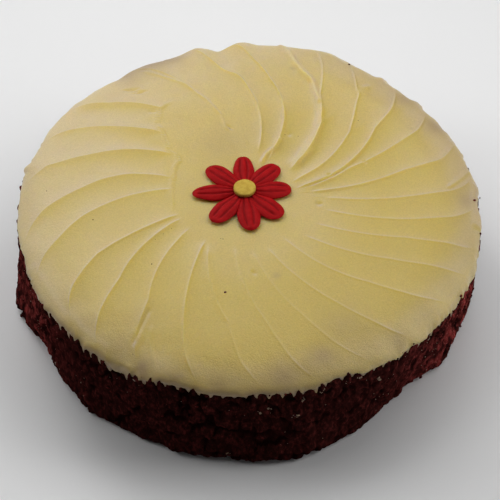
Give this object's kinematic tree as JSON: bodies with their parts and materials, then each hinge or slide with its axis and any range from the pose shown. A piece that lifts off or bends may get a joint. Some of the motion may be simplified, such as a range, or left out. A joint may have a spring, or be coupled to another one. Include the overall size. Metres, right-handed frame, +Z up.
{
  "type": "red velvet cake",
  "caption": "Whole round single-layer sponge cake with a swirled cream frosting top, a finely fluted side and a moulded sugar daisy in the middle.",
  "frame": {"origin": "middle of the base of the bounding box, on the flat underside of the sponge", "axes": "+Z up through the flower, -Y towards the front with the undercut to its right, +X to the right"},
  "size_m": [0.183, 0.184, 0.053],
  "materials": {
    "sponge_crumb": "moist dark red-brown cake crumb, open and rough, with small glints",
    "cream_frosting": "pale yellow cream frosting, smooth and slightly waxy, with knife strokes and a fine grain",
    "red_sugar": "deep red moulded sugar paste, matt to satin",
    "yellow_sugar": "yellow sugar paste with a grainy matt top"
  },
  "bodies": {
    "root": {"sponge": "sponge_crumb", "frosting": "cream_frosting", "flower": "red_sugar", "flower_centre": "yellow_sugar"}
  },
  "joints": []
}
